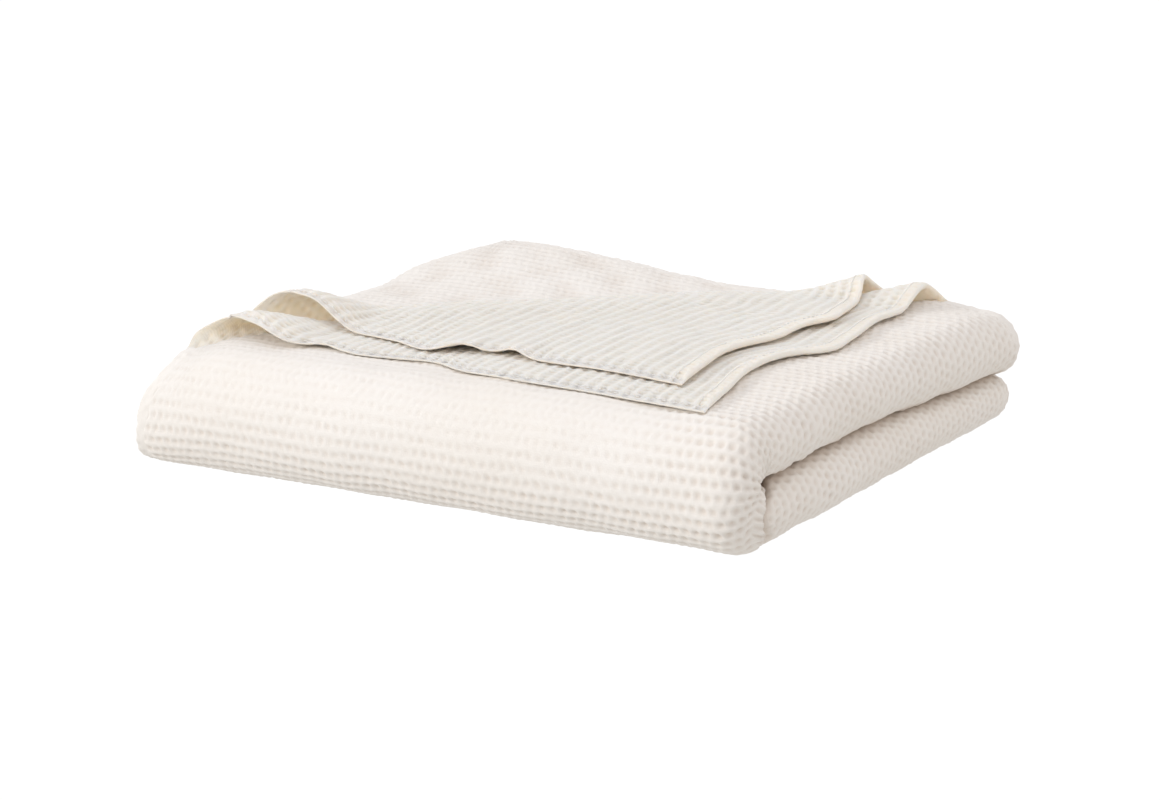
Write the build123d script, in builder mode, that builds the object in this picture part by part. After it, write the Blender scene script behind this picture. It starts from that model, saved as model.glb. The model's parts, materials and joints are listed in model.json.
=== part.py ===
"""A cotton throw folded to a quarter each way, with its top back corner turned over.

The cloth lies in 16 sheets, which are eight double layers: four in the upper half and
four in the lower half. The front fold joins the halves, a right fold joins the layers of
each half two by two, and a left fold closes the two inner layers of each half. The
hemmed edges lie at the left and at the back of the upper half, and small two-sheet folds
at the back of the lower half.

The two sheets of the top layer are turned over the stack at the back left corner. Each
turned sheet swings about its own diagonal fold line.

Frame: +X along the front fold, +Y to the back, +Z up. The origin is under the middle.
"""

import os
from math import atan2, degrees

from build123d import *

# Driving dimensions, in millimetres
length = 380.0
depth = 350.0
height = 70.0
layers_per_half = 4
half_gap = 0.4
hem_width = 8.0
hem_parting = 0.3
thread_width = 0.9
thread_height = 0.4
thread_inset = 6.0

# The turned corner: where the fold line of each sheet meets the left edge, from the front,
# and the back edge, from the left; and where its tip lies, from the left and the front
lower_fold_ends = (29.0, 344.0)
lower_tip_place = (344.0, 29.0)
upper_fold_ends = (70.0, 322.0)
upper_tip_place = (311.0, 60.0)
turned_gap = 0.3
turned_spacing = 0.8
bend_edge_clearance = 1.2

# Worked out from them
half_height = (height - half_gap) / 2
layer = half_height / layers_per_half
sheet = layer / 2
left, right = -length / 2, length / 2
front, back = -depth / 2, depth / 2
bend_radius = height / 2
bend_y = front + bend_radius
bend_z = bend_radius
right_fold_x = right - 2 * layer
left_fold_x = left + layer
middle_of_half = {"upper": height - 2 * layer, "lower": 2 * layer}
inner_fold_z = {"upper": height - 3 * layer, "lower": 3 * layer}

os.makedirs("parts", exist_ok=True)


def save(solid, name):
    solid.label = name
    export_step(solid, f"parts/{name}.step")


def slab(x_range, y_range, z_range):
    """A flat sheet or strip between the given limits."""
    with BuildPart() as piece:
        with BuildSketch(Plane.XY.offset(z_range[0])):
            with Locations((sum(x_range) / 2, sum(y_range) / 2)):
                Rectangle(x_range[1] - x_range[0], y_range[1] - y_range[0])
        extrude(amount=z_range[1] - z_range[0])
    return piece.part


def half_ring_face(outer, inner, keep_side):
    """The section of a fold: the half of a ring, or of a disc, on the keep_side of local X."""
    with BuildSketch() as section:
        Circle(outer)
        if inner > 0:
            Circle(inner, mode=Mode.SUBTRACT)
        with Locations((-keep_side * outer, 0)):
            Rectangle(2 * outer, 4 * outer, mode=Mode.SUBTRACT)
    return section.sketch


def straight_fold(plane, outer, inner, keep_side, run):
    """A fold whose section is drawn on plane and pulled along its normal."""
    with BuildPart() as piece:
        with BuildSketch(plane):
            add(half_ring_face(outer, inner, keep_side))
        extrude(amount=run)
    return piece.part


def paired_hems(x_range, y_range, z_range):
    """The hems of a double layer's two sheets, which lie loose on each other."""
    middle = sum(z_range) / 2
    with BuildPart() as hems:
        add(slab(x_range, y_range, (z_range[0], middle - hem_parting / 2)))
        add(slab(x_range, y_range, (middle + hem_parting / 2, z_range[1])))
    return hems.part


def side_fold(x, z, outer, inner, keep_side):
    """A fold at the left or the right, which runs from the front fold to the back edge."""
    plane = Plane(origin=(x, bend_y, z), x_dir=(1, 0, 0), z_dir=(0, 1, 0))
    return straight_fold(plane, outer, inner, keep_side, back - bend_y)


def corner_bend(x, z, outer, inner, keep_side):
    """A side fold carried round the front fold, from the upper half to the lower half."""
    plane = Plane(origin=(x, bend_y, z), x_dir=(1, 0, 0), z_dir=(0, 1, 0))
    with BuildPart() as piece:
        with BuildSketch(plane):
            add(half_ring_face(outer, inner, keep_side))
        revolve(axis=Axis((0, bend_y, bend_z), (1, 0, 0)), revolution_arc=180)
    return piece.part


def polygon_plate(points, z_range):
    """A flat plate with the given outline."""
    with BuildPart() as piece:
        with BuildSketch(Plane.XY.offset(z_range[0])):
            with BuildLine():
                Polyline(*points, close=True)
            make_face()
        extrude(amount=z_range[1] - z_range[0])
    return piece.part


class Turn:
    """The straight fold over which the back left corner of a sheet is turned to its tip."""

    def __init__(self, fold_ends, tip_place):
        self.left_end = Vector(left, front + fold_ends[0], 0)
        self.back_end = Vector(left + fold_ends[1], back, 0)
        self.tip = Vector(left + tip_place[0], front + tip_place[1], 0)
        self.middle = (self.left_end + self.back_end) / 2
        self.along = (self.back_end - self.left_end).normalized()
        self.normal = Vector(self.along.Y, -self.along.X, 0)

    def plane(self, from_left_end, z):
        """A plane across the fold line, that far along it: local X to the tip, local Y up."""
        origin = self.left_end + self.along * from_left_end + Vector(0, 0, z)
        return Plane(origin=origin, x_dir=self.normal, z_dir=self.along)

    def length(self):
        return (self.back_end - self.left_end).length

    def cut(self, solid):
        """What stays in the stack of a sheet that is turned over at this fold."""
        with BuildPart() as piece:
            add(solid)
            split(bisect_by=Plane(origin=self.middle, z_dir=self.normal), keep=Keep.TOP)
        return piece.part

    def turned_points(self, outline):
        """Points given as (along the left hem, along the back hem) from the tip."""
        to_left = (self.left_end - self.tip).normalized()
        to_back = (self.back_end - self.tip).normalized()
        places = [self.tip + to_left * a + to_back * b for a, b in outline]
        return [(place.X, place.Y) for place in places]

    def hem_lengths(self):
        return (self.left_end - self.tip).length, (self.back_end - self.tip).length


def turned_outlines(left_run, back_run):
    """The sheet inside the hems, the hem from the left edge and the hem from the back edge."""
    left_inner = left_run * (1 - hem_width / back_run)
    back_inner = back_run * (1 - hem_width / left_run)
    inner_corner = (hem_width, hem_width)
    panel = [inner_corner, (left_inner, hem_width), (hem_width, back_inner)]
    left_hem = [(0, 0), (left_run, 0), (left_inner, hem_width), (0, hem_width)]
    back_hem = [(0, hem_width), inner_corner, (hem_width, back_inner), (0, back_run)]
    return panel, left_hem, back_hem


def thread_rows(left_run, back_run):
    """The row of stitches along each hem, short of the tip and of the fold line."""
    near, far = thread_inset - thread_width / 2, thread_inset + thread_width / 2
    left_end, back_end = left_run - 2 * hem_width, back_run - 2 * hem_width
    left_row = [(near, near), (left_end, near), (left_end, far), (near, far)]
    back_row = [(near, hem_width), (far, hem_width), (far, back_end), (near, back_end)]
    return left_row, back_row


# Folds of the stack: the front fold in four nested bends
front_names = ["front_fold_outer", "front_fold_second", "front_fold_third", "front_fold_inner"]
for bends_outside, name in enumerate(front_names):
    reaches_left_edge = bends_outside < layers_per_half / 2
    start_x = left if reaches_left_edge else left_fold_x
    across_front = Plane(origin=(start_x, bend_y, bend_z), x_dir=(0, 1, 0), z_dir=(1, 0, 0))
    outer = bend_radius - bends_outside * layer
    save(straight_fold(across_front, outer, outer - layer, -1, right_fold_x - start_x), name)

# The right folds and the left fold of each half
for half in ("upper", "lower"):
    middle = middle_of_half[half]
    save(side_fold(right_fold_x, middle, 2 * layer, layer, 1), f"{half}_right_fold_outer")
    save(side_fold(right_fold_x, middle, layer, 0, 1), f"{half}_right_fold_inner")
    save(side_fold(left_fold_x, inner_fold_z[half], layer, 0, -1), f"{half}_left_fold")

# The side folds carried round the front fold
save(corner_bend(right_fold_x, middle_of_half["upper"], 2 * layer, layer, 1), "right_corner_outer")
save(corner_bend(right_fold_x, middle_of_half["upper"], layer, 0, 1), "right_corner_inner")
save(corner_bend(left_fold_x, inner_fold_z["upper"], layer, 0, -1), "left_corner_inner")

# The two sheets of the top layer, cut back to their diagonal folds
lower_turn = Turn(lower_fold_ends, lower_tip_place)
upper_turn = Turn(upper_fold_ends, upper_tip_place)
for name, turn, top in (
    ("top_sheet", lower_turn, height),
    ("second_sheet", upper_turn, height - sheet),
):
    whole = slab((left, right_fold_x), (bend_y, back - hem_width), (top - sheet, top))
    hem = slab((left, right_fold_x), (back - hem_width, back), (top - sheet, top))
    save(turn.cut(whole), name)
    save(turn.cut(hem), f"{name}_back_hem")

# The double layers under them, from layer_2 down to layer_8 at the bottom
for number in range(2, 2 * layers_per_half + 1):
    in_upper_half = number <= layers_per_half
    top = height - (number - 1) * layer - (0 if in_upper_half else half_gap)
    z_range = (top - layer, top)
    has_left_hems = number in (2, 7, 8)
    edge_x = left if has_left_hems else left_fold_x
    start_x = left + hem_width if has_left_hems else left_fold_x
    end_y = back - (hem_width if in_upper_half else sheet)
    save(slab((start_x, right_fold_x), (bend_y, end_y), z_range), f"layer_{number}")
    if has_left_hems:
        save(paired_hems((left, start_x), (bend_y, end_y), z_range), f"layer_{number}_left_hems")
    if in_upper_half:
        save(paired_hems((edge_x, right_fold_x), (end_y, back), z_range), f"layer_{number}_back_hems")
    else:
        along_back = Plane(origin=(edge_x, end_y, top - sheet), x_dir=(0, 1, 0), z_dir=(1, 0, 0))
        back_fold = straight_fold(along_back, sheet, 0, 1, right_fold_x - edge_x)
        save(back_fold, f"layer_{number}_back_fold")

# The turned sheets: the sheet, two hems, their sewing thread and the bend at the fold line
lower_floor = height + turned_gap
upper_floor = lower_floor + sheet + turned_spacing
for which, turn, floor, leg_floor in (
    ("lower", lower_turn, lower_floor, height - sheet),
    ("upper", upper_turn, upper_floor, height - layer),
):
    left_run, back_run = turn.hem_lengths()
    panel, left_hem, back_hem = turned_outlines(left_run, back_run)
    top = floor + sheet
    save(polygon_plate(turn.turned_points(panel), (floor, top)), f"{which}_turned_sheet")
    save(polygon_plate(turn.turned_points(left_hem), (floor, top)), f"{which}_turned_left_hem")
    save(polygon_plate(turn.turned_points(back_hem), (floor, top)), f"{which}_turned_back_hem")
    with BuildPart() as thread:
        for row in thread_rows(left_run, back_run):
            add(polygon_plate(turn.turned_points(row), (top, top + thread_height)))
    save(thread.part, f"{which}_turned_hem_thread")

    outer = (top - leg_floor) / 2
    over_front_fold = max(0, (bend_y - turn.left_end.Y) / turn.along.Y)
    inside_edge = bend_edge_clearance * outer
    start = over_front_fold + inside_edge
    run = turn.length() - start - inside_edge
    bend = straight_fold(turn.plane(start, leg_floor + outer), outer, outer - sheet, -1, run)
    save(bend, f"{which}_turned_bend")
    slope = degrees(atan2(turn.along.Y, turn.along.X))
    print(which, "fold line through", turn.middle, "at", slope, "degrees from +X")
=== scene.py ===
"""A folded waffle-weave throw: its cloth, hems, sewing and light, built round the CAD frame."""

import json
import math

import bpy
import numpy as np
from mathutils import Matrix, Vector


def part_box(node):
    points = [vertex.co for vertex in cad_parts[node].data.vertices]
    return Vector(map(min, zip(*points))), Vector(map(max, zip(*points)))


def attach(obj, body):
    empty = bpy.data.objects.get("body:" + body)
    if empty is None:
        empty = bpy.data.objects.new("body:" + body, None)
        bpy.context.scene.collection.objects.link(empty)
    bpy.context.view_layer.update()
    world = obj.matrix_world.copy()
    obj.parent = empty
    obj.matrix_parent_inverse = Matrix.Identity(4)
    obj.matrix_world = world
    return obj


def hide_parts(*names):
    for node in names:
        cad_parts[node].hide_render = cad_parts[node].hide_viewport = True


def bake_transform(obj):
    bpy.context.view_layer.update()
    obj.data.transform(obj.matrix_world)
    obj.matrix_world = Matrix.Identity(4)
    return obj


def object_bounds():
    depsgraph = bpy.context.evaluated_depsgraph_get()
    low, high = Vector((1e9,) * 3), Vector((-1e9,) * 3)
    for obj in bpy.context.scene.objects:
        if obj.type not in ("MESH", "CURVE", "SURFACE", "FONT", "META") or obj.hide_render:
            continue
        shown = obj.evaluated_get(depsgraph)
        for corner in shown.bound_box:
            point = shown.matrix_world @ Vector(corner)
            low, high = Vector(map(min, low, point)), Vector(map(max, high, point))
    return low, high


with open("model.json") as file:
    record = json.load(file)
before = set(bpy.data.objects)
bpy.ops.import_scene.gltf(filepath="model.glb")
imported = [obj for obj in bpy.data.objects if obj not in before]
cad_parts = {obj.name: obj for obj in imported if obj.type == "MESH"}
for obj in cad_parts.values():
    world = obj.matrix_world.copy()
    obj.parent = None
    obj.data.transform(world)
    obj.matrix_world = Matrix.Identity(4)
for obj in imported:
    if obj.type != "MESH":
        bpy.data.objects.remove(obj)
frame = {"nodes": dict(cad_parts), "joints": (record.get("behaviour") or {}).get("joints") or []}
cad_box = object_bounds()

MM = 0.001

# The stack, read from the CAD frame
LEFT, FRONT, FLOOR = cad_box[0]
RIGHT, BACK = cad_box[1][0], cad_box[1][1]
front_lo, front_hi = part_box("front_fold_outer")
BEND_Y = front_hi[1]
MID_Z = (front_lo[2] + front_hi[2]) / 2
FOLD_X = front_hi[0]
LEFT_FOLD_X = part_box("layer_4")[0][0]
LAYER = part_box("layer_8")[1][2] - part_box("layer_8")[0][2]
SHEET = LAYER / 2
HALF = 4 * LAYER
GAP = MID_Z - HALF
LOBE_R = HALF / 2

# Lengths along the cloth: t from the back edge on top, round the front fold, to the back edge
# underneath, and s from the left hem, over the right fold and back inside to the left. The
# outer sheet ends short of the back edge underneath (T_SKIN_END), and a little way in between
# the sheets past the right lobe (S_HIDDEN). The left edges have ends of their own (T_SIDE_...)
T_TOP = BACK - BEND_Y
T_BEND = math.pi * MID_Z
T_UNDER = T_TOP + T_BEND
T_END = T_UNDER + T_TOP
T_SKIN_END = T_END - 8 * MM
T_SIDE_START = 2 * MM
T_SIDE_END = T_END - T_SIDE_START
S_TOP = FOLD_X - LEFT
S_LOBE = math.pi * LOBE_R
S_INSIDE = S_TOP + S_LOBE
S_HIDDEN = S_INSIDE + 20 * MM
S_END = S_INSIDE + FOLD_X - LEFT_FOLD_X

# The waffle: square pits between ribs that run both ways
RIB_PITCH = 7.0 * MM
PIT_PITCH = 5.9 * MM
PIT_DEPTH = 1.7 * MM

# Grid steps: for the waffle, for the underside, and along a hem
STEP = 1.12 * MM
COARSE_STEP = 1.8 * MM
HEM_STEP = 1.5 * MM

# Cloth, hems and sewing
CLOTH_THICKNESS = 3.1 * MM
HEM_THICKNESS = 3.0 * MM
HEM_WIDTH = 8 * MM
HEM_START = 1 * MM
STITCH_INSET = 6 * MM
STITCH_PITCH = 3.4 * MM
STITCH_LENGTH = 2.5 * MM

# How far a resting sheet stays off the cloth below, and how far in from its edge, where a hem
# covers it, a sheet starts
REST_GAP = 0.3 * MM
TUCK = 6 * MM


def smooth(a, b, x):
    """0 at a, 1 at b, and a smooth step between them, whichever is larger."""
    k = np.clip((x - a) / (b - a), 0, 1)
    return k * k * (3 - 2 * k)


def bump(x, middle, width):
    """A rounded bump of height 1."""
    return np.exp(-(((x - middle) / width) ** 2))


def through(stops, x):
    """A smooth curve through listed (place, value) stops, read at x."""
    place, value = np.array(stops, float).T
    slope = np.gradient(value, place)
    k = np.clip(np.searchsorted(place, x) - 1, 0, len(place) - 2)
    gap = place[k + 1] - place[k]
    f = np.clip((x - place[k]) / gap, 0, 1)
    rise = value[k + 1] - value[k]
    bend = 3 * rise - gap * (2 * slope[k] + slope[k + 1])
    ease = gap * (slope[k] + slope[k + 1]) - 2 * rise
    return value[k] + f * gap * slope[k] + f**2 * bend + f**3 * ease


def ripple(u, v, seed, size):
    """A smooth uneven field, mostly between -1 and 1, with lumps of the given size."""
    rng = np.random.default_rng(seed)
    total = np.zeros(np.broadcast(u, v).shape)
    waves = 9
    for _ in range(waves):
        way = rng.uniform(0, 2 * math.pi)
        number = 2 * math.pi / (size * rng.uniform(0.7, 1.6))
        phase = rng.uniform(0, 2 * math.pi)
        total += np.sin(number * (u * math.cos(way) + v * math.sin(way)) + phase)
    return total / math.sqrt(waves)


def waffle(s, t, depth=PIT_DEPTH):
    """The cloth's relief: small knots, and pits between ribs that run both ways. The pits of one
    row are staggered against the next."""
    s = s + 0.5 * MM * ripple(s, t, 11, 60 * MM)
    t = t + 0.5 * MM * ripple(s, t, 12, 70 * MM)
    shift = 0.5 * PIT_PITCH * (np.floor(t / RIB_PITCH) % 2)
    between_ribs = np.abs(np.sin(math.pi * t / RIB_PITCH)) ** 2.3
    across_ribs = np.abs(np.sin(math.pi * (s + shift) / PIT_PITCH)) ** 1.7
    uneven = 1 + 0.15 * ripple(s, t, 13, 22 * MM) + 0.15 * ripple(s, t, 14, 7 * MM)
    knots = 0.16 * MM * (ripple(s, t, 15, 3.6 * MM) - 1)
    return -depth * uneven * between_ribs * (0.10 + 0.90 * across_ribs) + knots


def spaced(start, *runs):
    """Grid lines from start, through runs of (step, end)."""
    line = [np.array([start])]
    for step, end in runs:
        count = max(1, round(abs(end - start) / step))
        line.append(np.linspace(start, end, count + 1)[1:])
        start = end
    return np.concatenate(line)


def normals_of(points):
    """The unit normal at each point of a grid."""
    n = np.cross(np.gradient(points, axis=1), np.gradient(points, axis=0))
    size = np.linalg.norm(n, axis=2, keepdims=True)
    return n / np.maximum(size, 1e-12)


def grid_faces(rows, columns):
    """The quads of a grid, as an array of rows - 1 by columns - 1 by 4."""
    number = np.arange(rows * columns).reshape(rows, columns)
    corners = [number[:-1, :-1], number[:-1, 1:], number[1:, 1:], number[1:, :-1]]
    return np.stack(corners, axis=2)


def middle_of_faces(values):
    """A value for each quad of a grid, from two of its corners."""
    return (values[:-1, :-1] + values[1:, 1:]) / 2


def make_piece(name, points, faces, uv, material, relief=None):
    """A mesh object from points, quads and the cloth's own coordinates, all in metres. relief
    says how deep each point looks: the material paints shade into pits and creases by it."""
    used, index = np.unique(faces.ravel(), return_inverse=True)
    faces = index.reshape(-1, 4)
    mesh = bpy.data.meshes.new(name)
    mesh.vertices.add(len(used))
    mesh.vertices.foreach_set("co", points[used].astype(np.float32).ravel())
    mesh.loops.add(faces.size)
    mesh.loops.foreach_set("vertex_index", faces.astype(np.int32).ravel())
    mesh.polygons.add(len(faces))
    mesh.polygons.foreach_set("loop_start", np.arange(0, faces.size, 4, dtype=np.int32))
    mesh.polygons.foreach_set("use_smooth", np.ones(len(faces), dtype=bool))
    mesh.update(calc_edges=True)
    layer = mesh.uv_layers.new(name="weave")
    layer.data.foreach_set("uv", uv[used][faces.ravel()].astype(np.float32).ravel())
    # The pit attribute carries how deep a point looks, from which the material paints shade
    if relief is not None:
        pit = mesh.attributes.new("pit", "FLOAT", "POINT")
        pit.data.foreach_set("value", (-relief.ravel()[used] / PIT_DEPTH).astype(np.float32))
    mesh.validate()
    mesh.materials.append(material)
    piece = bpy.data.objects.new(name, mesh)
    bpy.context.scene.collection.objects.link(piece)
    return piece


def on_stack(piece, slot_name, *nodes):
    """The piece lies still on the stack and stands for these CAD nodes."""
    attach(piece, "folded_stack")
    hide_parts(*nodes)
    return piece


class Fold:
    """The diagonal fold line of a turned sheet, from its joint."""

    def __init__(self, joint_name):
        joint = next(j for j in frame["joints"] if j["name"] == joint_name)
        self.middle = np.array(joint["pos_m"][:2])
        self.along = -np.array(joint["axis"][:2])
        self.outward = np.array([-self.along[1], self.along[0]])
        self.left_end = (LEFT - self.middle[0]) / self.along[0]
        self.back_end = (BACK - self.middle[1]) / self.along[1]
        self.left_y = self.middle[1] + self.left_end * self.along[1]
        self.back_x = self.middle[0] + self.back_end * self.along[0]

    def places(self, x, y):
        """How far a point is along the line, and beyond it towards the corner that is turned."""
        dx, dy = x - self.middle[0], y - self.middle[1]
        along = dx * self.along[0] + dy * self.along[1]
        beyond = dx * self.outward[0] + dy * self.outward[1]
        return along, beyond

    def point(self, along, beyond):
        """The plan place of a point that is given in the same way."""
        x = self.middle[0] + along * self.along[0] + beyond * self.outward[0]
        y = self.middle[1] + along * self.along[1] + beyond * self.outward[1]
        return x, y


lower_fold = Fold("lower_layer_turn")
upper_fold = Fold("upper_layer_turn")


# ---------------------------------------------------------------- materials

def linked(tree, kind, inputs=(), **settings):
    """A new shader node with its settings, and its inputs set to a value or linked to a socket."""
    node = tree.nodes.new(kind)
    for key, value in settings.items():
        setattr(node, key, value)
    for key, value in inputs:
        if isinstance(value, bpy.types.NodeSocket):
            tree.links.new(value, node.inputs[key])
        else:
            node.inputs[key].default_value = value
    return node


def mixed(tree, share, first, second):
    """A mix of two colours, from all first at a share of 0 to all second at 1."""
    mix = linked(tree, "ShaderNodeMix", [("Factor", share), ("A", first), ("B", second)],
                 data_type="RGBA")
    return next(output for output in mix.outputs if output.type == "RGBA")


# Painted shade: the darker, warmer colours given to the bottoms of pits, on the stack and on the
# loose turned sheets
PIT_SHADE_COLOUR = (0.830, 0.765, 0.690, 1)
LOOSE_PIT_SHADE_COLOUR = (0.880, 0.775, 0.635, 1)
# Painted shade for deep folds and the hollow behind the corner tuck
CREASE_SHADE_COLOUR = (0.560, 0.455, 0.370, 1)


def cotton(name, light, dark, yarn, fuzz, pit_shade_colour=PIT_SHADE_COLOUR, see_through=0.0):
    """Woven cotton: two sets of yarns a yarn apart, loose fibres, and a slightly uneven dye.
    Painted shade darkens the cloth at the bottom of a pit, and darkens it further deep in folds and
    hollows. A loose sheet lets some light through."""
    material = bpy.data.materials.new(name)
    material.use_nodes = True
    tree = material.node_tree
    tree.nodes.clear()
    place = linked(tree, "ShaderNodeUVMap", uv_map="weave").outputs["UV"]
    yarn_scale = 2 * math.pi / (20 * yarn)
    lengthways = linked(tree, "ShaderNodeTexWave", [
        ("Vector", place), ("Scale", yarn_scale), ("Distortion", 2.2), ("Detail", 2.0),
        ("Detail Scale", 1.4)], bands_direction="X").outputs["Fac"]
    crossways = linked(tree, "ShaderNodeTexWave", [
        ("Vector", place), ("Scale", yarn_scale * 0.83), ("Distortion", 2.6), ("Detail", 2.0),
        ("Detail Scale", 1.2)], bands_direction="Y").outputs["Fac"]
    weave = linked(tree, "ShaderNodeMath", [(0, lengthways), (1, crossways)],
                   operation="MAXIMUM").outputs[0]
    fibres = linked(tree, "ShaderNodeTexNoise", [
        ("Vector", place), ("Scale", 2400.0), ("Detail", 5.0), ("Roughness", 0.7)]).outputs["Fac"]
    slubs = linked(tree, "ShaderNodeTexNoise", [
        ("Vector", place), ("Scale", 160.0), ("Detail", 3.0), ("Roughness", 0.6)]).outputs["Fac"]
    cloudy = linked(tree, "ShaderNodeTexNoise", [
        ("Vector", place), ("Scale", 11.0), ("Detail", 2.0)]).outputs["Fac"]
    height = linked(tree, "ShaderNodeMath", [(0, fibres), (1, 0.55), (2, weave)],
                    operation="MULTIPLY_ADD").outputs[0]
    tone = linked(tree, "ShaderNodeMath", [(0, slubs), (1, 0.6), (2, cloudy)],
                  operation="MULTIPLY_ADD").outputs[0]
    spread = linked(tree, "ShaderNodeMapRange", [
        ("Value", tone), ("From Min", 0.55), ("From Max", 1.05)]).outputs["Result"]
    dyed = mixed(tree, spread, dark, light)
    # Painted shade: the deeper a point looks, the more of the pits' shade colour it gets
    pit = linked(tree, "ShaderNodeAttribute", attribute_name="pit").outputs["Fac"]
    deep = linked(tree, "ShaderNodeMapRange", [
        ("Value", pit), ("From Min", 0.12), ("From Max", 1.0)]).outputs["Result"]
    with_pit_shade = mixed(tree, deep, dyed, pit_shade_colour)
    # Painted shade: past a depth of 1.2 the colour turns towards a dark brown, for the shade deep
    # in folds and hollows
    creased = linked(tree, "ShaderNodeMapRange", [
        ("Value", pit), ("From Min", 1.2), ("From Max", 3.0)]).outputs["Result"]
    colour = mixed(tree, creased, with_pit_shade, CREASE_SHADE_COLOUR)
    rough = linked(tree, "ShaderNodeMapRange", [
        ("Value", fibres), ("To Min", 0.82), ("To Max", 1.0)]).outputs["Result"]
    relief = linked(tree, "ShaderNodeBump", [
        ("Height", height), ("Strength", 0.55), ("Distance", fuzz)]).outputs["Normal"]
    shader = linked(tree, "ShaderNodeBsdfPrincipled", [
        ("Base Color", colour), ("Roughness", rough), ("Normal", relief),
        ("Specular IOR Level", 0.15), ("Sheen Weight", 0.12), ("Sheen Roughness", 0.6),
        ("Subsurface Weight", see_through), ("Subsurface Radius", (1.0, 0.87, 0.74)),
        ("Subsurface Scale", 5.5 * MM)])
    linked(tree, "ShaderNodeOutputMaterial", [("Surface", shader.outputs["BSDF"])])
    return material


WAFFLE_LIGHT, WAFFLE_DARK = (0.945, 0.912, 0.858, 1), (0.915, 0.872, 0.805, 1)
# The turned sheets get warmer colours than the stack, a painted warm glow standing in for light
# that comes through the thin cloth
LOOSE_LIGHT, LOOSE_DARK = (0.965, 0.893, 0.800, 1), (0.938, 0.853, 0.748, 1)
HEM_LIGHT, HEM_DARK = (0.950, 0.918, 0.865, 1), (0.915, 0.872, 0.805, 1)
THREAD_LIGHT, THREAD_DARK = (0.950, 0.925, 0.880, 1), (0.915, 0.880, 0.820, 1)
waffle_cotton = cotton("waffle_cotton", WAFFLE_LIGHT, WAFFLE_DARK, 0.95 * MM, 0.22 * MM)
loose_cotton = cotton("loose_cotton", LOOSE_LIGHT, LOOSE_DARK, 0.95 * MM, 0.22 * MM,
                      LOOSE_PIT_SHADE_COLOUR, see_through=0.8)
hem_cotton = cotton("hem_cotton", HEM_LIGHT, HEM_DARK, 0.70 * MM, 0.16 * MM)
thread_cotton = cotton("thread_cotton", THREAD_LIGHT, THREAD_DARK, 0.30 * MM, 0.06 * MM)


# ---------------------------------------------------------------- the stack's shape

def at_left(x, reach=62 * MM):
    """1 at the left hems, fading to 0 inside the stack."""
    return smooth(LEFT + reach, LEFT, x)


def at_right(x):
    """1 at the right fold, fading to 0 inside the stack."""
    return smooth(FOLD_X - 110 * MM, FOLD_X - 10 * MM, x)


def loft(x, t):
    """The stack's height as a share of CAD's. It droops at the front left corner and at the back
    right one, puffs up where the turned corner no longer weighs on it, most of all at the back
    left corner, and is slightly lumpy all over."""
    y = BACK - np.minimum(t, T_TOP)
    _, beyond = upper_fold.places(x, y)
    droop = at_left(x) * (0.03 + 0.09 * bump(t, T_TOP + 15 * MM, 38 * MM))
    freed = 0.13 * smooth(8 * MM, 55 * MM, beyond) * smooth(LEFT - 20 * MM, LEFT + 25 * MM, x)
    sag = 0.16 * smooth(60 * MM, 0, t) * smooth(FOLD_X - 50 * MM, FOLD_X, x)
    raised = 0.10 * bump(x, lower_fold.back_x + 4 * MM, 36 * MM) * smooth(80 * MM, 0, t)
    corner = 0.49 * smooth(115 * MM, 0, t) * smooth(LEFT + 215 * MM, LEFT + 50 * MM, x)
    corner = corner * smooth(30 * MM, 90 * MM, beyond)
    return 1 - droop - sag + freed + raised + corner + 0.014 * ripple(x, t, 21, 130 * MM)


def inset(t):
    """How far the left hems stand in from CAD's left face."""
    return (2 + 17 * bump(t, T_TOP + 5 * MM, 42 * MM) + 22 * smooth(75 * MM, 0, t)) * MM


def strip(x, n, t):
    """A point of the folded stack, from its height n above the plane between the two halves. The
    front fold sags, most at the left, and the right lobes lean and bulge at the back."""
    turn = np.clip((t - T_TOP) / MID_Z, 0, math.pi)
    behind = np.where(t < T_TOP, T_TOP - t, np.clip(t - T_UNDER, 0, None))
    underneath = smooth(T_TOP + 0.5 * T_BEND, T_UNDER, t)
    n = n * (loft(x, t) * (1 - underneath) + underneath)
    x = x + inset(t) * at_left(x, 50 * MM) * (1 - 0.6 * underneath)
    belly = (0.06 + 0.10 * at_left(x) * smooth(0.8, 2.2, turn)) * n * np.sin(turn) ** 2
    y = BEND_Y + behind - n * np.sin(turn)
    z = MID_Z + n * np.cos(turn) - belly
    at_back = at_right(x) * smooth(BACK - 190 * MM, BACK - 10 * MM, y)
    share_up = z / (2 * MID_Z)
    lean = 4 * share_up * (1 - np.clip(share_up, 0, 1))
    z = z - 5.5 * MM * at_back * lean
    bulge = (6.0 * smooth(0, 1.3 * MID_Z, z) - 1.0) * MM
    x = x + bulge * at_back * smooth(FOLD_X - 30 * MM, RIGHT, x)
    return np.stack([x + 0 * t, y + 0 * x, z], -1)


def skin_path(s, out=LOBE_R):
    """A sheet's section in the upper half, out from the middle of the right fold's lobe."""
    around = np.clip((s - S_TOP) / LOBE_R, 0, math.pi)
    inside = np.clip(s - S_INSIDE, 0, None)
    x = LEFT + np.clip(s, None, S_TOP) + out * np.sin(around) - inside
    n = GAP + LOBE_R + out * np.cos(around)
    return x, n


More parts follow.
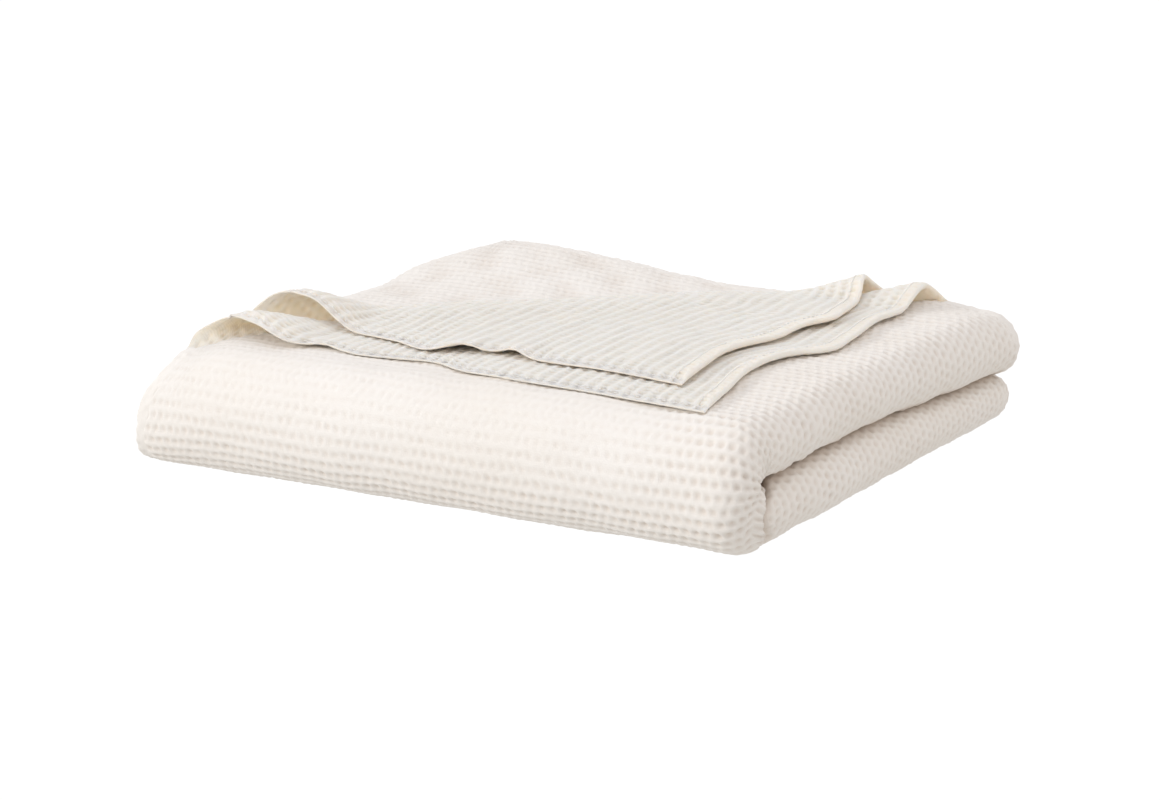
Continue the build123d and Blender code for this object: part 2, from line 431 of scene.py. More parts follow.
def corner_tuck(s, t):
    """The deep tuck at the near corner, where the end of the front fold hangs over the lower
    lobe: how far the cloth sinks, how far it slides along itself over the tuck, and where in
    the hollow behind it the cloth gets painted shade."""
    up = (s - S_TOP) / S_LOBE
    round_bend = skin_path(s)[1] / MID_Z
    along = (t - T_UNDER) * np.where(t < T_UNDER, round_bend, 1)
    tuck = (8 - 21 * bump(up, 0.5, 0.28) + 1.2 * ripple(s, 0 * t, 25, 14 * MM)) * MM
    past = along - tuck
    deep = smooth(0.10, 0.40, up)
    lip = bump(past, -4 * MM, 3.5 * MM) * smooth(0.15, 0.45, up) * smooth(1, 0.8, up)
    groove = np.where(past < 0, bump(past, 0, 2 * MM), smooth(16 * MM, 7 * MM, past))
    behind = smooth(-2 * MM, 4 * MM, past) * smooth(70 * MM, 0, past)
    creased = 0.9 * ripple(s, 0.4 * t, 23, 9 * MM) * bump(past, -5 * MM, 14 * MM)
    sink = (2.5 * lip - 11 * groove - 3 * behind + creased) * MM * deep
    slide = 6 * MM * bump(past, -2.5 * MM, 4 * MM) * deep
    # Painted shade goes in the hollow just behind the tuck, where this is 1
    pocket_shade = bump(past, 9 * MM, 6 * MM) * bump(up, 0.55, 0.32)
    return sink, slide, pocket_shade


def seam_dive(s, t):
    """How far a sheet's edge goes down beneath its hem."""
    back = np.minimum(t, T_END - t)
    return 1.8 * MM * np.maximum(smooth(10 * MM, 6 * MM, s), smooth(10 * MM, 6 * MM, back))


def skin_surface(s, t):
    """The outer sheet of the stack: its points, the cloth coordinates of its grid, and how deep
    each point looks, with painted shade added as extra depth in the hollow behind the corner
    tuck and along the right fold's inner bend."""
    s, t = np.meshgrid(s, t, indexing="ij")
    x, n = skin_path(s)
    base = strip(x, n - seam_dive(s, t), t)
    normal = normals_of(base)
    to_crease = smooth(S_TOP + S_LOBE * 1.02, S_TOP + S_LOBE * 0.80, s)
    press = smooth(T_UNDER - 8 * MM, T_UNDER + 4 * MM, t) * smooth(S_TOP + 5 * MM, S_TOP, s)
    stretched = smooth(T_TOP + 0.80 * T_BEND, T_TOP + 0.15 * T_BEND, t)
    stretched = stretched * smooth(S_TOP, S_TOP - 60 * MM, s)
    depth = PIT_DEPTH * (1 - 0.5 * press) * (1 - 0.75 * stretched)
    relief = waffle(s, t, depth) * to_crease
    swell = 0.4 * MM * ripple(s, t, 22, 44 * MM) * (1 - press)
    sink, slide, pocket_shade = corner_tuck(s, t)
    cloth_way = np.gradient(base, axis=1)
    cloth_way /= np.linalg.norm(cloth_way, axis=2, keepdims=True)
    points = base + normal * (relief + swell + sink)[..., None] + cloth_way * slide[..., None]
    # Painted shade: the hollow behind the corner tuck and the inner bend of the right fold are
    # given extra depth for the material to darken
    crease_shade = smooth(S_TOP + S_LOBE * 0.76, S_TOP + S_LOBE, s)
    return points, s, t, relief - PIT_DEPTH * (2.6 * pocket_shade + 2.4 * crease_shade)


# ---------------------------------------------------------------- the outer sheet, in regions

def skin_pieces():
    """The outer sheet: its top up to the turned corner, both right lobes, the front and the
    base."""
    flat_top, lobe, whole = (TUCK, S_TOP), (S_TOP, S_HIDDEN), (TUCK, S_HIDDEN)
    over, under = (TUCK, T_TOP), (T_UNDER, T_SKIN_END)
    regions = [
        ("top_sheet_cloth", flat_top, over, STEP, "top_sheet", "laid"),
        ("upper_right_lobe", lobe, over, STEP, "upper_right_fold_outer", "folded"),
        ("front_wrap", whole, (T_TOP, T_UNDER), STEP, "front_fold_outer", "folded"),
        ("lower_right_lobe", lobe, under, STEP, "lower_right_fold_outer", "folded"),
        ("base_sheet", flat_top, under, COARSE_STEP, "layer_8", "laid"),
    ]
    for name, (s_start, s_end), (t_start, t_end), step, node, held in regions:
        s_lines = spaced(s_start, (step, s_end))
        t_lines = spaced(t_start, (step, t_end))
        points, s, t, look = skin_surface(s_lines, t_lines)
        faces = grid_faces(*s.shape)
        area = (s_end - s_start) * (t_end - t_start)
        if name == "top_sheet_cloth":
            kept = middle_of_faces(lower_fold.places(LEFT + s, BACK - t)[1]) < LOWER_START
            faces = faces[kept]
            area = area * np.mean(kept)
        uv = np.stack([s, t], -1).reshape(-1, 2)
        piece = make_piece(name, points.reshape(-1, 3), faces.reshape(-1, 4), uv,
                           waffle_cotton, look)
        on_stack(piece, "waffle_cotton", node)


# ---------------------------------------------------------------- the turned corner

# Where each turned sheet starts, on the stack's side of its fold line
LOWER_START = -1 * MM
UPPER_START = -5 * MM


def from_corner(stops):
    """Stops given as (length along the hem, x, y) from the left and front faces, in millimetres."""
    return [(h * MM, LEFT + x * MM, FRONT + y * MM) for h, x, y in stops]


# Where the turned hems lie, seen from above: each runs from the fold line to the tip
LOWER_LEFT_HEM = from_corner([
    (0, 14, 33), (12, 14, 46), (26, 27, 55), (50, 52, 51), (72, 77, 46), (88, 94, 54),
    (117, 126, 48), (137, 147, 51), (157, 168, 54), (182, 194, 43), (208, 222, 39),
    (262, 281, 36), (321, 344, 29)])
LOWER_BACK_HEM = from_corner([
    (0, 345, 348), (10, 337, 346), (22, 333, 334), (45, 336, 309), (75, 337, 281),
    (92, 336, 265), (150, 342, 209), (186, 342, 175), (200, 333, 163), (222, 328, 144),
    (254, 327, 114), (300, 336, 70), (344, 344, 29)])
UPPER_LEFT_HEM = from_corner([
    (0, 11, 76), (21, 15, 94), (44, 34, 98), (72, 70, 88), (92, 95, 80), (122, 131, 73),
    (147, 160, 64), (160, 176, 72), (181, 200, 76), (204, 226, 69), (237, 263, 67),
    (280, 311, 60)])
UPPER_BACK_HEM = from_corner([
    (0, 321, 347), (18, 305, 343), (38, 299, 325), (72, 308, 292), (115, 316, 253),
    (140, 319, 231), (158, 312, 214), (194, 309, 180), (218, 304, 157), (243, 303, 133),
    (283, 307, 95), (322, 311, 60)])


class Turned:
    """A sheet whose back left corner is turned over its fold line. depth is how far its middle
    lies under the top of the stack, curl gives its radii at the left, middle and back, and
    reach is about how far in from a hem the cloth still follows it."""

    reach = 80 * MM

    def __init__(self, fold, left_hem, back_hem, depth, curl, start):
        self.fold = fold
        self.left_hem, self.back_hem = left_hem, back_hem
        self.depth, self.curl, self.start = depth, curl, start
        self.left_length = BACK - fold.left_y
        self.back_length = fold.back_x - LEFT
        _, tip_x, tip_y = left_hem[-1]
        corner_along, corner_beyond = fold.places(LEFT, BACK)
        tip_along, tip_beyond = fold.places(tip_x, tip_y)
        self.shear = (tip_along - corner_along) / corner_beyond
        self.scale = -tip_beyond / (corner_beyond - math.pi * curl[1])

    def radius(self, along):
        """The curl's radius: open loops at both ends of the fold line, tight in the middle."""
        left, middle, back = self.curl
        in_left = along - self.fold.left_end
        in_back = self.fold.back_end - along
        from_left = smooth(105 * MM, 36 * MM, in_left) * smooth(-60 * MM, 20 * MM, in_left)
        from_back = smooth(90 * MM, 26 * MM, in_back) * smooth(-60 * MM, 20 * MM, in_back)
        return middle + (left - middle) * from_left + (back - middle) * from_back

    def flat_place(self, along, beyond):
        """Where a cloth point lies before its hems are moved: its plan place, how far past the
        curl it is, its angle round the curl, and the height of the sheet's root."""
        r = self.radius(along)
        past = np.clip(beyond - math.pi * r, 0, None)
        in_curl = np.clip(beyond / r, 0, math.pi)
        plan = np.minimum(beyond, 0) + r * np.sin(in_curl) - past * self.scale
        x, y = self.fold.point(along + self.shear * past, plan)
        root_x, root_y = self.fold.point(along, np.minimum(beyond, 0))
        root = strip(root_x, GAP + HALF - self.depth, BACK - root_y)
        past = past * self.scale
        settled = smooth(40 * MM, 0, past)
        x = x + (root[..., 0] - root_x) * settled
        y = y + (root[..., 1] - root_y) * settled
        return x, y, past, in_curl, root[..., 2]

    def hem_shift(self, hem, along, beyond, length):
        """How far a hem is moved from its flat place to where it lies."""
        x, y = self.flat_place(along, beyond)[:2]
        to_x = through([(h, a) for h, a, _ in hem], length)
        to_y = through([(h, b) for h, _, b in hem], length)
        grown = smooth(0, 12 * MM, beyond)
        return np.stack([(to_x - x) * grown, (to_y - y) * grown], -1)

    def surface(self, s, t, height, lifts):
        """The middle of the sheet's thickness at cloth points s, t. height(x, y, past) is the
        level that the turned part rests at, and lifts(s, t) raises its hems."""
        along, beyond = self.fold.places(LEFT + s, BACK - t)
        x, y, past, in_curl, root_z = self.flat_place(along, beyond)

        # In plan: each hem moves to where it lies, and the cloth near it follows
        left = self.hem_shift(self.left_hem, *self.fold.places(LEFT, BACK - t[0]),
                              self.left_length - t[0])
        back = self.hem_shift(self.back_hem, *self.fold.places(LEFT + s[:, 0], BACK),
                              self.back_length - s[:, 0])
        free = smooth(-1 * MM, 12 * MM, beyond)
        near_left = np.exp(-s / self.reach) * free
        near_back = np.exp(-t / self.reach) * free
        x = x + left[None, :, 0] * near_left + back[:, None, 0] * near_back
        y = y + left[None, :, 1] * near_left + back[:, None, 1] * near_back

        # In height: over the curl, then down from its top to the level that the cloth rests at
        r = self.radius(along)
        sunk = 1.5 * MM * bump(np.minimum(s, t), 0, 12 * MM) * smooth(14 * MM, 0, beyond)
        over = root_z - sunk + r * (1 - np.cos(in_curl))
        rest = height(x, y, past)
        fold_x, fold_y = self.fold.point(along, 0 * along)
        loop = 2 * r - (height(fold_x, fold_y, 0 * past) - root_z)
        fall = smooth(15 * MM + 3.6 * np.clip(loop, 0, None), 0, past)
        down = rest + loop * fall + lifts(s, t) * smooth(0, 12 * MM, past)
        return np.stack([x, y, np.where(in_curl < math.pi, over, down)], -1)


def stack_top(x, y):
    """The height of the stack's outer sheet over a point of the plan. Where that sheet is turned
    over, it is the height at the nearest point of the fold line."""
    along, beyond = lower_fold.places(x, y)
    x, y = lower_fold.point(along, np.minimum(beyond, 0))
    t = np.clip(BACK - y, 0, T_TOP)
    return MID_Z + (GAP + HALF) * loft(x, t)


def front_slope(y):
    """How much the stack has fallen away in front of its flat top."""
    ahead = np.clip(BEND_Y - y, 0, MID_Z * 0.9)
    return MID_Z - np.sqrt(MID_Z**2 - ahead**2)


def lower_height(x, y, past):
    """The level of the lower turned sheet's middle, which is the same however far past its curl."""
    return stack_top(x, y) - front_slope(y) + REST_GAP + CLOTH_THICKNESS / 2


def lower_loops(x, y):
    """How far the lower turned sheet's loops stand above where it rests."""
    along, beyond = lower_fold.places(x, y)
    loop = np.clip(2 * lower_turn.radius(along) - CLOTH_THICKNESS - REST_GAP, 0, None)
    fall = smooth(15 * MM + 3.6 * loop, 0, -beyond) * smooth(26 * MM, 4 * MM, beyond)
    return loop * fall


def upper_height(x, y, past):
    """The level of the upper turned sheet's middle, over the lower one and its loops."""
    rest = lower_height(x, y, past) + CLOTH_THICKNESS + REST_GAP
    return rest + lower_loops(x, y) * smooth(0, 22 * MM, past)


def lower_lifts(s, t):
    """Small rises of the lower turned hems off the stack."""
    left = 1.6 * bump(t, 232 * MM, 9 * MM) + 0.4 * bump(t, 120 * MM, 14 * MM)
    back = 1.2 + 1.3 * bump(s, 120 * MM, 30 * MM) + 1.2 * bump(s, 230 * MM, 40 * MM)
    away_from_tip = smooth(0, 40 * MM, s + t)
    return MM * away_from_tip * (left * np.exp(-s / (14 * MM)) + back * np.exp(-t / (11 * MM)))


def upper_lifts(s, t):
    """Small rises of the upper turned hems off the sheet below."""
    left = 4.2 * bump(t, 122 * MM, 9 * MM) + 3.2 * bump(t, 96 * MM, 8 * MM)
    back = 1.1 + 1.8 * bump(s, 175 * MM, 30 * MM) + 1.0 * bump(s, 80 * MM, 30 * MM)
    away_from_tip = smooth(0, 40 * MM, s + t)
    return MM * away_from_tip * (left * np.exp(-s / (13 * MM)) + back * np.exp(-t / (11 * MM)))


lower_turn = Turned(
    lower_fold, LOWER_LEFT_HEM, LOWER_BACK_HEM,
    depth=CLOTH_THICKNESS / 2, curl=(7.2 * MM, 2.1 * MM, 5.8 * MM), start=LOWER_START)
upper_turn = Turned(
    upper_fold, UPPER_LEFT_HEM, UPPER_BACK_HEM,
    depth=SHEET + CLOTH_THICKNESS / 2, curl=(12.6 * MM, 5.8 * MM, 11.2 * MM), start=UPPER_START)

# The grid of a turned sheet: runs of (step, end) in from a hem's rim, and how far the grid goes
# on past the ends of the fold line, before it is cut there
HEM_EDGE = [(0.10 * MM, 0.10 * MM), (0.25 * MM, 0.35 * MM), (0.4 * MM, 0.75 * MM),
            (0.6 * MM, 1.9 * MM), (0.82 * MM, HEM_WIDTH)]
OVERRUN = 12 * MM


def pressed(s):
    """How much of the cloth's thickness is left where it is pressed thin towards the left hem."""
    return 1 - 0.5 * smooth(14 * MM, 1 * MM, s)


def thickness(s, t):
    """Half the cloth's thickness: rounded rims, a sewn groove, and a soft roll at the back hem."""
    edge = np.minimum(s, t)
    nose = np.clip(edge / (CLOTH_THICKNESS / 2), 0, 1)
    rim = np.sqrt(1 - (1 - nose) ** 2)
    roll = 1.0 * MM * bump(t, 4 * MM, 3 * MM) * smooth(0, 25 * MM, s)
    seam = 0.3 * MM * bump(edge, STITCH_INSET, 0.6 * MM)
    return rim * (CLOTH_THICKNESS / 2 * pressed(s) + roll) - seam


def relief_off_hem(s, t, aside=0.0):
    """The waffle where the cloth isn't hemmed, and a flatter rolled look on the hem. aside is how
    many pits the pattern is moved, because a pit in one face is a rib in the other."""
    edge = np.minimum(s, t)
    open_cloth = smooth(1 * MM, HEM_WIDTH, edge)
    rolled = 0.20 * MM * (ripple(s, t, 31, 4.5 * MM) - 1) * smooth(0, 1 * MM, edge)
    pattern = waffle(s + aside * PIT_PITCH, t, 1.25 * PIT_DEPTH) * smooth(0, 1.5 * MM, edge)
    return pattern * (0.35 + 0.65 * open_cloth) + rolled * (1 - open_cloth)


def closing_faces(kept, other):
    """Quads that join the two faces of a sheet along its cut edge, but not along its hems."""
    edges = np.concatenate([kept[:, [k, (k + 1) % 4]] for k in range(4)])
    _, index, uses = np.unique(np.sort(edges, axis=1), axis=0,
                               return_index=True, return_counts=True)
    cut = edges[index[uses == 1]]
    cut = cut[(other[cut] != cut).any(axis=1)]
    return np.stack([cut[:, 1], cut[:, 0], other[cut[:, 0]], other[cut[:, 1]]], axis=1)


def turned_piece(name, turn, height, lifts, nodes):
    """One turned sheet, with both its faces, and the sewing along its hems."""
    s = spaced(0, *HEM_EDGE, (STEP, turn.back_length + OVERRUN))
    t = spaced(0, *HEM_EDGE, (STEP, turn.left_length + OVERRUN))
    s, t = np.meshgrid(s, t, indexing="ij")
    middle = turn.surface(s, t, height, lifts)
    normal = normals_of(middle)
    _, beyond = turn.fold.places(LEFT + s, BACK - t)
    keep = middle_of_faces(beyond) > turn.start
    middle = middle + normal * (CLOTH_THICKNESS / 2 * (1 - pressed(s)))[..., None]
    calm = 1 - 0.5 * bump(beyond, 14 * MM, 16 * MM)
    relief = np.stack([relief_off_hem(s, t, 0.5), relief_off_hem(s, t)]) * calm
    half = np.maximum(thickness(s, t) + relief * np.array([0.6, 1.0])[:, None, None], 0)
    face_under = middle + normal * half[0][..., None]
    face_over = middle - normal * half[1][..., None]
    points = np.concatenate([face_under.reshape(-1, 3), face_over.reshape(-1, 3)])

    # The two faces share the points of the rims along both hems
    faces = grid_faces(*s.shape)
    number = np.arange(s.size).reshape(s.shape)
    other = number + s.size
    other[0, :], other[:, 0] = number[0, :], number[:, 0]
    over_faces = other.ravel()[faces][:, :, ::-1]
    quads = np.concatenate([
        faces[keep], over_faces[keep], closing_faces(faces[keep], other.ravel())])
    uv = np.tile(np.stack([s, t], -1).reshape(-1, 2), (2, 1))

    # Painted shade: the insides of the loops and the rim of the left hem are given extra depth, so
    # the material paints them in the pits' darker, warmer colour, for the shade there and the
    # light coming through the cloth
    look = relief - PIT_DEPTH * smooth(1.0 * MM, 0.3 * MM, s)
    look[0] -= 0.7 * PIT_DEPTH * bump(beyond, 12 * MM, 18 * MM)
    piece = make_piece(name, points, quads, uv, loose_cotton, look)
    on_turned_body(piece, turn)
    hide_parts(*nodes)

    column = int(np.argmin(np.abs(s[:, 0] - STITCH_INSET)))
    row = int(np.argmin(np.abs(t[0] - STITCH_INSET)))
    free_left = beyond[column] > turn.start + 4 * MM
    free_back = beyond[:, row] > turn.start + 4 * MM
    thread = stitching(name.replace("cloth", "thread"), [
        (face_over[column][free_left], -normal[column][free_left], t[column][free_left]),
        (face_over[:, row][free_back], -normal[:, row][free_back], s[:, row][free_back])])
    on_turned_body(thread, turn)
    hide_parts(nodes[-1])


def on_turned_body(piece, turn):
    """Bakes the piece's place into its mesh. The fold line's middle and the stack's height there
    are worked out but not used."""
    x, y = turn.fold.middle
    root = np.array([x, y, float(stack_top(np.array(x), np.array(y))) - turn.depth])
    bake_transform(piece)


def stitching(name, lines):
    """Short thread stitches along lines of (points, normals, lengths). Each is a tube of a few
    rings, pinched at its ends, where it dips into the cloth."""
    sides, rings = 6, 5
    wide, high = 0.45 * MM, 0.32 * MM
    turn = np.linspace(0, 2 * math.pi, sides, endpoint=False)
    swell = np.array([0.15, 0.85, 1.0, 0.85, 0.15])
    along = np.linspace(-0.5, 0.5, rings) * STITCH_LENGTH
    rise = high - 0.35 * MM * np.abs(np.linspace(-1, 1, rings)) ** 3
    all_points, all_faces = [], []
    ring_quads = np.array([
        (r * sides + k, r * sides + (k + 1) % sides,
         (r + 1) * sides + (k + 1) % sides, (r + 1) * sides + k)
        for r in range(rings - 1) for k in range(sides)])
    base = 0
    for points, normals, length in lines:
        order = np.argsort(length)
        points, normals = points[order], normals[order]
        gone = np.concatenate([[0], np.cumsum(np.linalg.norm(np.diff(points, axis=0), axis=1))])
        for middle in np.arange(STITCH_PITCH, gone[-1] - STITCH_PITCH, STITCH_PITCH):
            at = [np.interp(middle + a, gone, points[:, k]) for a in along for k in range(3)]
            at = np.array(at).reshape(rings, 3)
            up = np.array([np.interp(middle, gone, normals[:, k]) for k in range(3)])
            up /= np.linalg.norm(up)
            way = at[-1] - at[0]
            way /= np.linalg.norm(way)
            side = np.cross(way, up)
            for ring in range(rings):
                centre = at[ring] + up * rise[ring]
                across = np.outer(np.cos(turn) * wide * swell[ring], side)
                above = np.outer(np.sin(turn) * high * swell[ring], up)
                all_points.append(centre + across + above)
            all_faces.append(ring_quads + base)
            base += sides * rings
    points = np.concatenate(all_points)
    uv = np.stack([np.arange(len(points)) * 0.2 * MM, np.zeros(len(points))], -1)
    return make_piece(name, points, np.concatenate(all_faces), uv, thread_cotton)


def turned_corner():
    """The corners of the top two sheets, turned over together."""
    parts = ["sheet", "left_hem", "back_hem", "bend", "hem_thread"]
    for which, turn, height, lifts in (
        ("lower", lower_turn, lower_height, lower_lifts),
        ("upper", upper_turn, upper_height, upper_lifts),
    ):
        nodes = [f"{which}_turned_{part}" for part in parts]
        turned_piece(f"{which}_turned_cloth", turn, height, lifts, nodes)


# ---------------------------------------------------------------- sheets that the turn uncovers

def level_sheet(name, depth, is_seen, node):
    """A flat stretch of a sheet deeper in the stack, seen past the turned corner."""
    s, t = np.meshgrid(spaced(TUCK, (STEP, S_TOP)), spaced(TUCK, (STEP, T_TOP)), indexing="ij")
    base = strip(LEFT + s, GAP + HALF - depth - seam_dive(s, t), t)
    relief = waffle(s + 2 * MM, t + 3 * MM, 0.5 * PIT_DEPTH)
    relief = relief + 0.5 * MM * ripple(s, t, 24, 40 * MM)
    points = base + normals_of(base) * relief[..., None]
    seen = is_seen(LEFT + s, BACK - t)
    seen = seen[:-1, :-1] & seen[1:, 1:]
    faces = grid_faces(*s.shape)[seen]
    uv = np.stack([s + 0.5, t], -1).reshape(-1, 2)
    piece = make_piece(name, points.reshape(-1, 3), faces, uv, waffle_cotton, relief)
    on_stack(piece, "waffle_cotton", node)


def uncovered_sheets():
    """The band of the second sheet between the fold lines, and the third sheet's corner. Both
    go on a little way beneath the cloth beside them."""
    def between_lines(x, y):
        not_turned = upper_fold.places(x, y)[1] < UPPER_START + 1 * MM
        return not_turned & (lower_fold.places(x, y)[1] > -14 * MM)

    def past_upper_line(x, y):
        return upper_fold.places(x, y)[1] > -22 * MM

    level_sheet("second_sheet_cloth", SHEET, between_lines, "second_sheet")
    level_sheet("third_sheet_cloth", 2 * SHEET, past_upper_line, "layer_2")


# ---------------------------------------------------------------- hems and lobes at the sides

# How far a hem wanders and how rough it is, and how far a lobe goes in between the sheets
HEM_WANDER = 1.3 * MM
HEM_RELIEF = 0.25 * MM
LOBE_TAIL = 30 * MM


def band(name, material, slot_name, nodes, points, along, out, relief):
    """A strip swept along a side: points is a grid, and relief is pushed out along its normal."""
    normal = normals_of(points)
    points = points + normal * relief[..., None]
    uv = np.stack([along, out], -1).reshape(-1, 2)
    piece = make_piece(name, points.reshape(-1, 3), grid_faces(*along.shape).reshape(-1, 4), uv,
                       material, relief)
    return on_stack(piece, slot_name, *nodes)


def rounded_ends(along, start, end, radius):
    """1 along a strip, and a quarter circle down to 0 at each of its ends."""
    nose = np.clip(np.minimum(along - start, end - along) / radius, 0, 1)
    return np.sqrt(1 - (1 - nose) ** 2)


def nose_profile():
    """A hem's section: distance in from its rim, and height from its middle. Its two sides close
    up a little where they go in between the sheets."""
    r = HEM_THICKNESS / 2
    flat = np.concatenate([[26 * MM, 18 * MM], np.linspace(11 * MM, r, 10)[:-1]])
    turn = np.linspace(0, math.pi, 9)
    inward = np.concatenate([flat, r - r * np.sin(turn), flat[::-1]])
    dive = 1.4 * MM * smooth(8 * MM, 11 * MM, flat)
    up = np.concatenate([r - dive, r * np.cos(turn), (dive - r)[::-1]])
    return inward, up


def left_hem(name, depth, t_start, node, seed):
    """One sheet's hem down the left side, from t_start round the front fold to the back."""
    inward, up = nose_profile()
    lines = spaced(t_start, (HEM_STEP, T_SIDE_END))
    t, k = np.meshgrid(lines, np.arange(len(inward)), indexing="ij")
    wander = HEM_WANDER * ripple(t, 0 * t, seed, 60 * MM)
    x = LEFT + inward[k] + np.abs(wander)
    closed = rounded_ends(t, t_start, T_SIDE_END, HEM_THICKNESS / 2)
    points = strip(x, GAP + HALF - depth - SHEET / 2 + up[k] * closed, t)
    relief = HEM_RELIEF * ripple(t, inward[k], seed + 1, 5 * MM)
    band(name, hem_cotton, "cotton_hem", [node], points, t, inward[k] + up[k], relief)


def back_hem(name, out, s_start, node, seed):
    """One sheet's hem along the back, from s_start round the right lobe and back inside."""
    inward, up = (run[::-1] for run in nose_profile())
    lines = spaced(s_start, (HEM_STEP, S_END))
    s, k = np.meshgrid(lines, np.arange(len(inward)), indexing="ij")
    wander = np.abs(HEM_WANDER * ripple(s, 0 * s, seed, 60 * MM))
    closed = rounded_ends(s, s_start, S_END, HEM_THICKNESS / 2)
    x, n = skin_path(s, out - SHEET / 2 + up[k] * closed)
    points = strip(x, n, inward[k] + wander)
    relief = -HEM_RELIEF * ripple(s, inward[k], seed + 1, 5 * MM)
    band(name, hem_cotton, "cotton_hem", [node], points, s, inward[k] + up[k], relief)


def half_round(radius):
    """A lobe's section: distance past the fold's centre, height from its middle, and length
    along it. Its tails close up a little where they go in between the sheets."""
    turn = np.linspace(0, math.pi, max(8, round(math.pi * radius / STEP)) + 1)
    flat = np.linspace(-LOBE_TAIL, 0, round(LOBE_TAIL / STEP))[:-1]
    past = np.concatenate([flat, radius * np.sin(turn), flat[::-1]])
    level = radius - 2.4 * MM * smooth(-5 * MM, -13 * MM, flat)
    up = np.concatenate([level, radius * np.cos(turn), -level[::-1]])
    along = np.concatenate([[0], np.cumsum(np.hypot(np.diff(past), np.diff(up)))])
    return past, up, along


def left_lobe():
    """The folded edge down the left side, round the front fold to the back."""
    radius = LAYER
    past, up, around = half_round(radius)
    lines = spaced(T_SIDE_START, (STEP, T_SIDE_END))
    t, k = np.meshgrid(lines, np.arange(len(past)), indexing="ij")
    x = LEFT_FOLD_X - past[k] + 0.8 * MM * (1 + ripple(t, 0 * t, 51, 80 * MM))
    closed = rounded_ends(t, T_SIDE_START, T_SIDE_END, 0.6 * radius)
    points = strip(x, GAP + radius + up[k] * 0.985 * closed, t)
    relief = waffle(around[k], t)
    piece = band("left_lobe_cloth", waffle_cotton, "waffle_cotton",
                 ["upper_left_fold", "lower_left_fold", "front_fold_inner", "front_fold_third"],
                 points, around[k], t, relief)


def back_lobe(name, out, nodes, seed):
    """One folded edge of the lower half along the back, round the right lobe."""
    radius = LAYER / 2
    start = 3 * MM
    past, up, around = half_round(radius)
    s, k = np.meshgrid(spaced(start, (STEP, S_END)), np.arange(len(past)), indexing="ij")
    x, n = skin_path(s, out + up[k] * 0.97 * rounded_ends(s, start, S_END, radius))
    wander = 1.2 * MM * (1 + ripple(s, 0 * s, seed, 80 * MM))
    points = strip(x, n, T_END - radius + past[k] - wander)
    relief = waffle(s, around[k])
    piece = band(name, waffle_cotton, "waffle_cotton", nodes, points, s, around[k], relief)


def side_edges():
    """The edges of all the sheets, from the top one down. The hems of the first two start beside
    the loops of the turned corner."""
    sheets = ["first", "second", "third", "fourth"]
    starts = [BACK - lower_fold.left_y - 7 * MM, BACK - upper_fold.left_y + 6 * MM,
              HEM_START, HEM_START]
    nodes = ["layer_8_left_hems", "front_fold_second", "layer_2_left_hems", "layer_7_left_hems"]
    for number, (which, start, node) in enumerate(zip(sheets, starts, nodes)):
        name = f"{which}_sheet_left_hem_cloth"
        left_hem(name, number * SHEET, start, node, seed=61 + 2 * number)
    left_lobe()

    starts = [lower_fold.back_x - LEFT - 7 * MM, upper_fold.back_x - LEFT + 6 * MM,
              HEM_START, HEM_START]
    nodes = ["top_sheet_back_hem", "second_sheet_back_hem", "layer_2_back_hems",
             "layer_3_back_hems"]
    for number, (which, start, node) in enumerate(zip(sheets, starts, nodes)):
        name = f"{which}_sheet_back_hem_cloth"
        back_hem(name, LOBE_R - number * SHEET, start, node, seed=71 + 2 * number)
    back_lobe("outer_back_lobe_cloth", LOBE_R - LAYER / 2,
              ["layer_8_back_fold", "layer_5_back_fold"], seed=81)
    back_lobe("inner_back_lobe_cloth", LOBE_R - 3 * LAYER / 2,
              ["layer_7_back_fold", "layer_6_back_fold"], seed=83)


# ---------------------------------------------------------------- the stage

# The lights' aim, the way to the brightest part of the sky, and the sky's two colours
LIGHT_AIM = Vector((0, 0, 0.03))
BRIGHT_WAY = (-0.50, -0.30, 0.81)
WARM_SKY, COOL_SKY = (1.05, 0.96, 0.91, 1), (0.985, 0.982, 1.02, 1)


def area_light(name, place, size, power, colour):
    """A round soft light at place, aimed at the throw."""
    light = bpy.data.lights.new(name, "AREA")
    light.shape = "DISK"
    light.size = size
    light.energy = power
    light.color = colour
    lamp = bpy.data.objects.new(name, light)
    lamp.location = place
    lamp.rotation_euler = (LIGHT_AIM - Vector(place)).to_track_quat("-Z", "Y").to_euler()
    bpy.context.scene.collection.objects.link(lamp)


def studio_sky():
    """Soft light all round, brightest from above on the left, and weaker and warmer away from
    there, so that the right side is in shade."""
    world = bpy.data.worlds.new("studio")
    world.use_nodes = True
    tree = world.node_tree
    background = tree.nodes["Background"]
    way = linked(tree, "ShaderNodeTexCoord").outputs["Generated"]
    to_left = linked(tree, "ShaderNodeVectorMath", [(0, way), (1, BRIGHT_WAY)],
                     operation="DOT_PRODUCT").outputs["Value"]
    level = linked(tree, "ShaderNodeMapRange", [
        ("Value", to_left), ("From Min", -1.0), ("From Max", 1.0),
        ("To Min", 0.62), ("To Max", 0.845)])
    share = linked(tree, "ShaderNodeMapRange", [
        ("Value", to_left), ("From Min", -0.9), ("From Max", 0.6)])
    colour = mixed(tree, share.outputs["Result"], WARM_SKY, COOL_SKY)
    tree.links.new(colour, background.inputs["Color"])
    tree.links.new(level.outputs["Result"], background.inputs["Strength"])
    return world


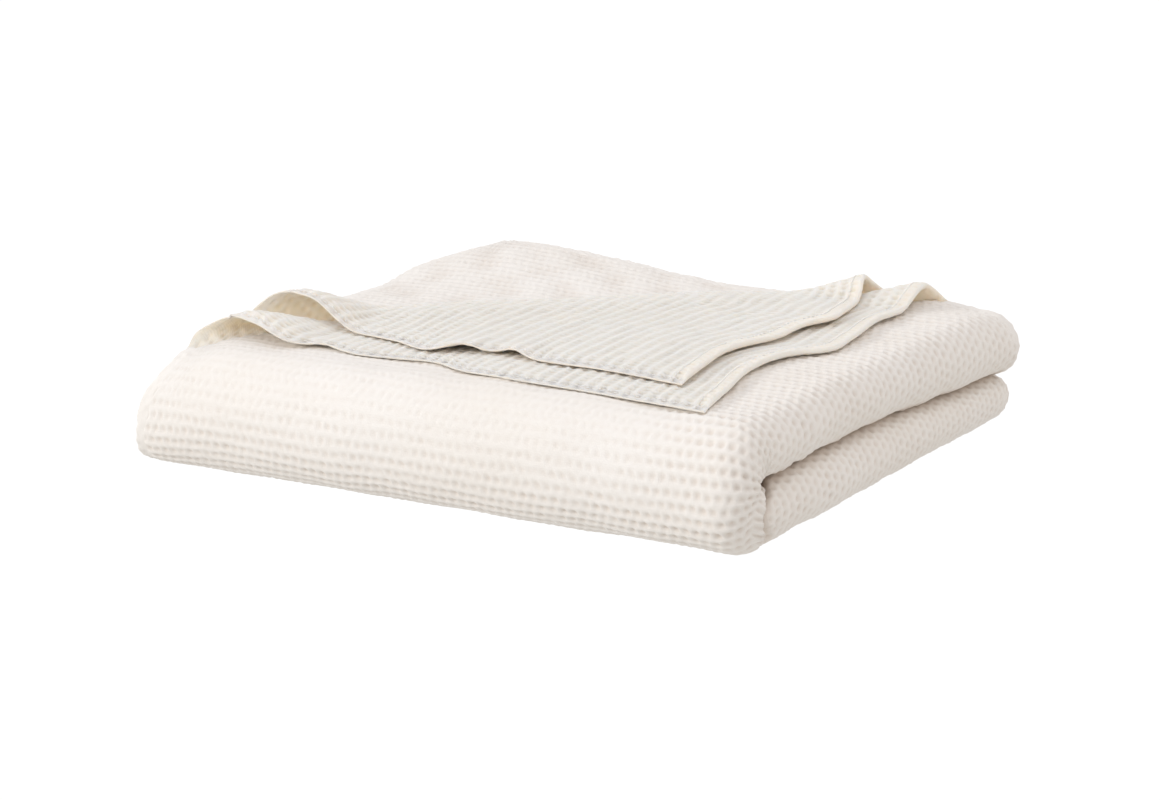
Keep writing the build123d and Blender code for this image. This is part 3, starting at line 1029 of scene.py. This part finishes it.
def floor_material():
    """A lit shooting table: softly bright for what stands on it, and pure white for the camera."""
    material = bpy.data.materials.new("studio_floor")
    material.use_nodes = True
    tree = material.node_tree
    tree.nodes.clear()
    place = linked(tree, "ShaderNodeTexCoord").outputs["Object"]
    mottle = linked(tree, "ShaderNodeTexNoise", [("Vector", place), ("Scale", 6.0)]).outputs["Fac"]
    glow = linked(tree, "ShaderNodeMapRange", [
        ("Value", mottle), ("To Min", 0.70), ("To Max", 0.74)])
    lit = linked(tree, "ShaderNodeEmission", [
        ("Color", (1.0, 0.975, 0.955, 1)), ("Strength", glow.outputs["Result"])])
    white = linked(tree, "ShaderNodeEmission", [("Strength", 1.05)])
    seen = linked(tree, "ShaderNodeLightPath").outputs["Is Camera Ray"]
    either = linked(tree, "ShaderNodeMixShader", [
        (0, seen), (1, lit.outputs["Emission"]), (2, white.outputs["Emission"])])
    linked(tree, "ShaderNodeOutputMaterial", [("Surface", either.outputs["Shader"])])
    return material


def stage():
    """The floor, 12 m across, the studio light, and colours shown as they are."""
    half = 6.0
    mesh = bpy.data.meshes.new("studio_floor")
    corners = [(-half, -half, 0), (half, -half, 0), (half, half, 0), (-half, half, 0)]
    mesh.from_pydata(corners, [], [(0, 1, 2, 3)])
    mesh.materials.append(floor_material())
    floor = bpy.data.objects.new("studio_floor", mesh)
    floor.location.z = FLOOR - 0.4 * MM
    bpy.context.scene.collection.objects.link(floor)

    bpy.context.scene.world = studio_sky()
    area_light("key_light", (-1.2, -2.0, 1.0), 0.5, 18, (1.0, 0.99, 0.99))
    area_light("right_light", (1.0, 0.2, 1.8), 0.9, 3.5, (1.0, 0.97, 0.95))

    view = bpy.context.scene.view_settings
    view.view_transform = "Standard"
    view.look = "None"


def make_camera():
    """The camera stands to the right of the front, a little above the throw."""
    azimuth, elevation, distance = math.radians(30.3), math.radians(13.86), 1.581
    target = Vector((12.6 * MM, -24.6 * MM, 33.5 * MM))
    level = math.cos(elevation)
    way = Vector((math.sin(azimuth) * level, -math.cos(azimuth) * level, math.sin(elevation)))
    data = bpy.data.cameras.new("camera")
    data.lens = 87.9
    data.sensor_width = 36.0
    data.clip_end = 50.0
    camera = bpy.data.objects.new("camera", data)
    camera.location = target + way * distance
    camera.rotation_euler = way.to_track_quat("Z", "Y").to_euler()
    bpy.context.scene.collection.objects.link(camera)
    bpy.context.scene.camera = camera


def hide_the_rest():
    """Hides the CAD nodes that no piece stands for yet: those that lie wholly inside the stack,
    or whose cloth is part of a piece above."""
    hidden = sorted(n for n, o in frame["nodes"].items() if not o.hide_render)
    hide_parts(*hidden)


make_camera()
stage()
skin_pieces()
turned_corner()
uncovered_sheets()
side_edges()
hide_the_rest()
